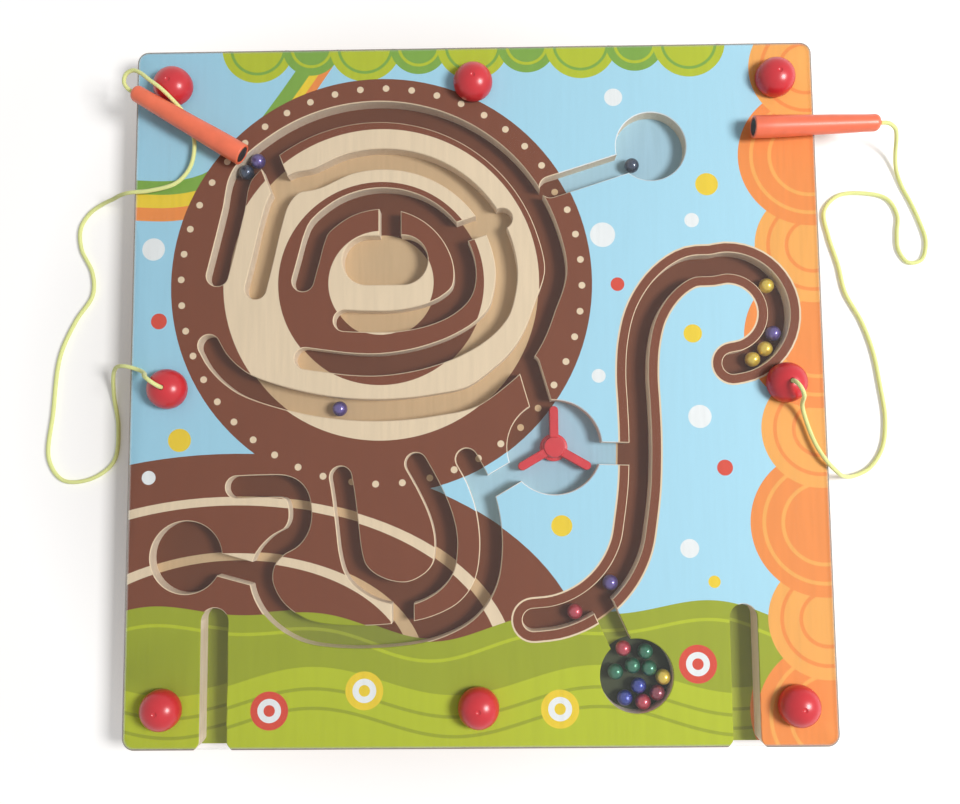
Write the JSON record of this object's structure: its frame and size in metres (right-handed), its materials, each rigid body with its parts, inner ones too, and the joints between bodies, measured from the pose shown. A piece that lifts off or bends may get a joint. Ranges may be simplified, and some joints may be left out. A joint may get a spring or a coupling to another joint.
{
  "type": "magnetic_maze_board",
  "caption": "Wooden magnetic maze board: steel beads roll in routed grooves under a clear pegged cover and are led by two tethered magnet pens.",
  "frame": {"origin": "centre of the board's flat underside", "axes": "+Z out of the played face, +Y to the edge opposite the pen slots, +X to the player's right"},
  "size_m": [0.3966, 0.304, 0.0306],
  "materials": {
    "printed_wood": "printed faces under a thin lacquer, bare routed walls",
    "clear_acrylic": "clear polished sheet",
    "red_plastic": "smooth, slightly glossy",
    "orange_plastic": "smooth, satin",
    "bright_steel": "plain",
    "ferrite": "dull dark grey magnet",
    "braided_cord": "thin braided cord",
    "bead_violet": "lacquered steel",
    "bead_navy": "lacquered steel",
    "bead_yellow": "lacquered steel",
    "bead_red": "lacquered steel",
    "bead_green": "lacquered steel",
    "bead_blue": "lacquered steel",
    "bead_maroon": "lacquered steel"
  },
  "bodies": {
    "board": {"maze_board": "printed_wood", "clear_cover": "clear_acrylic", "peg_top_left": "red_plastic", "peg_top_centre": "red_plastic", "peg_top_right": "red_plastic", "peg_middle_left": "red_plastic", "peg_middle_right": "red_plastic", "peg_bottom_left": "red_plastic", "peg_bottom_centre": "red_plastic", "peg_bottom_right": "red_plastic", "spinner_pin": "bright_steel", "cord_left": "braided_cord", "cord_right": "braided_cord"},
    "spinner": {"spinner_rotor": "red_plastic"},
    "pen_left": {"pen_left_body": "orange_plastic", "pen_left_magnet": "ferrite"},
    "pen_right": {"pen_right_body": "orange_plastic", "pen_right_magnet": "ferrite"},
    "bead_01": {"bead_01_violet": "bead_violet"},
    "bead_02": {"bead_02_navy": "bead_navy"},
    "bead_03": {"bead_03_violet": "bead_violet"},
    "bead_04": {"bead_04_navy": "bead_navy"},
    "bead_05": {"bead_05_yellow": "bead_yellow"},
    "bead_06": {"bead_06_violet": "bead_violet"},
    "bead_09": {"bead_09_violet": "bead_violet"},
    "bead_10": {"bead_10_red": "bead_red"},
    "bead_11": {"bead_11_red": "bead_red"},
    "bead_pair": {"bead_07_yellow": "bead_yellow", "bead_08_yellow": "bead_yellow"},
    "bead_heap": {"bead_12_green": "bead_green", "bead_13_green": "bead_green", "bead_14_green": "bead_green", "bead_15_green": "bead_green", "bead_16_yellow": "bead_yellow", "bead_17_blue": "bead_blue", "bead_18_blue": "bead_blue", "bead_19_maroon": "bead_maroon", "bead_20_red": "bead_red"}
  },
  "joints": [
    {"name": "spinner_turn", "type": "hinge", "parent": "board", "child": "spinner", "pos_m": [0.0335, -0.0265, 0.0075], "axis": [0, 0, 1], "continuous": true},
    {"name": "pen_left_lift", "type": "slide", "parent": "board", "child": "pen_left", "axis": [0, 0, 1], "range_m": [0, 0.04]},
    {"name": "pen_right_lift", "type": "slide", "parent": "board", "child": "pen_right", "axis": [0, 0, 1], "range_m": [0, 0.04]},
    {"name": "bead_01_roll", "type": "hinge", "parent": "board", "child": "bead_01", "pos_m": [-0.0425, 0.045, 0.011], "axis": [0, 0, 1], "range_deg": [-110, 0]},
    {"name": "bead_02_roll", "type": "slide", "parent": "board", "child": "bead_02", "axis": [-0.23, -0.9732, 0], "range_m": [0, 0.044]},
    {"name": "bead_03_roll", "type": "hinge", "parent": "board", "child": "bead_03", "pos_m": [-0.042, 0.1402, 0.011], "axis": [0, 0, 1], "range_deg": [-14, 20]},
    {"name": "bead_04_roll", "type": "slide", "parent": "board", "child": "bead_04", "axis": [-0.9538, -0.3005, 0], "range_m": [-0.006, 0.03]},
    {"name": "bead_05_roll", "type": "hinge", "parent": "board", "child": "bead_05", "pos_m": [0.1095, 0.0308, 0.011], "axis": [0, 0, 1], "range_deg": [-20, 68]},
    {"name": "bead_06_roll", "type": "hinge", "parent": "board", "child": "bead_06", "pos_m": [0.1095, 0.0308, 0.011], "axis": [0, 0, 1], "range_deg": [0, 16]},
    {"name": "bead_pair_roll", "type": "hinge", "parent": "board", "child": "bead_pair", "pos_m": [0.1095, 0.0308, 0.011], "axis": [0, 0, 1], "range_deg": [-22, 2]},
    {"name": "bead_09_roll", "type": "hinge", "parent": "board", "child": "bead_09", "pos_m": [0.0235, -0.0553, 0.011], "axis": [0, 0, 1], "range_deg": [-8, 35]},
    {"name": "bead_10_roll", "type": "hinge", "parent": "board", "child": "bead_10", "pos_m": [0.0235, -0.0553, 0.011], "axis": [0, 0, 1], "range_deg": [-21, 6]},
    {"name": "bead_11_roll", "type": "slide", "parent": "board", "child": "bead_11", "axis": [-0.4084, 0.9128, 0], "range_m": [0, 0.013]},
    {"name": "bead_heap_swirl", "type": "hinge", "parent": "board", "child": "bead_heap", "pos_m": [0.0663, -0.1227, 0.011], "axis": [0, 0, 1], "range_deg": [-22, 8]}
  ]
}
